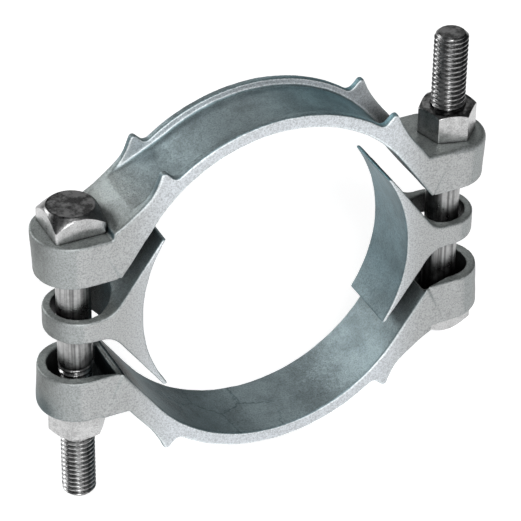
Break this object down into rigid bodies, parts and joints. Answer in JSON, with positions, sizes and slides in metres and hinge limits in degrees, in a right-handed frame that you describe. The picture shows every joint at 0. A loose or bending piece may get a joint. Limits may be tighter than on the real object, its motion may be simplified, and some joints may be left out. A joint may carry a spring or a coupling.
{
  "type": "double bolt pipe clamp",
  "caption": "Two channel-section cast half rings closed round a pipe by a bolt through the lugs at each side, with a loose curved saddle bridging each gap.",
  "frame": {"origin": "centre of the bore, midway between the two bolts and between the two clamp halves", "axes": "+Y along the pipe, +X from bolt to bolt, +Z along the bolts, up through the crown of the upper half"},
  "size_m": [0.1782, 0.0296, 0.1586],
  "materials": {
    "casting": "zinc-plated malleable iron, matt and grainy as cast",
    "fastener": "bright zinc-plated steel with rolled threads"
  },
  "bodies": {
    "lower": {"lower_clamp_half": "casting", "right_bolt": "fastener"},
    "upper": {"upper_clamp_half": "casting", "left_bolt": "fastener"},
    "left_saddle": {"left_saddle": "casting"},
    "right_saddle": {"right_saddle": "casting"},
    "left_nut": {"left_nut": "fastener"},
    "right_nut": {"right_nut": "fastener"}
  },
  "joints": [
    {"name": "upper_half_close", "type": "slide", "parent": "lower", "child": "upper", "axis": [0, 0, -1], "range_m": [-0.02931, 0.0171]},
    {"name": "right_nut_turn", "type": "hinge", "parent": "upper", "child": "right_nut", "pos_m": [0.0743, 0, 0.0382], "axis": [0, 0, -1], "range_deg": [-5401, 3151]},
    {"name": "left_nut_turn", "type": "hinge", "parent": "lower", "child": "left_nut", "pos_m": [-0.0743, 0, -0.0382], "axis": [0, 0, 1], "range_deg": [-5401, 3151]},
    {"name": "left_saddle_follow", "type": "slide", "parent": "upper", "child": "left_saddle", "axis": [0, 0, 1], "range_m": [-0.01468, 0.00857]},
    {"name": "right_saddle_follow", "type": "slide", "parent": "upper", "child": "right_saddle", "axis": [0, 0, 1], "range_m": [-0.01468, 0.00857]}
  ],
  "couplings": [
    {"joint": "right_nut_turn", "follows": "upper_half_close", "rad_per_m": 3215.8},
    {"joint": "left_nut_turn", "follows": "upper_half_close", "rad_per_m": 3215.8},
    {"joint": "left_saddle_follow", "follows": "upper_half_close", "ratio": 0.5},
    {"joint": "right_saddle_follow", "follows": "upper_half_close", "ratio": 0.5}
  ]
}
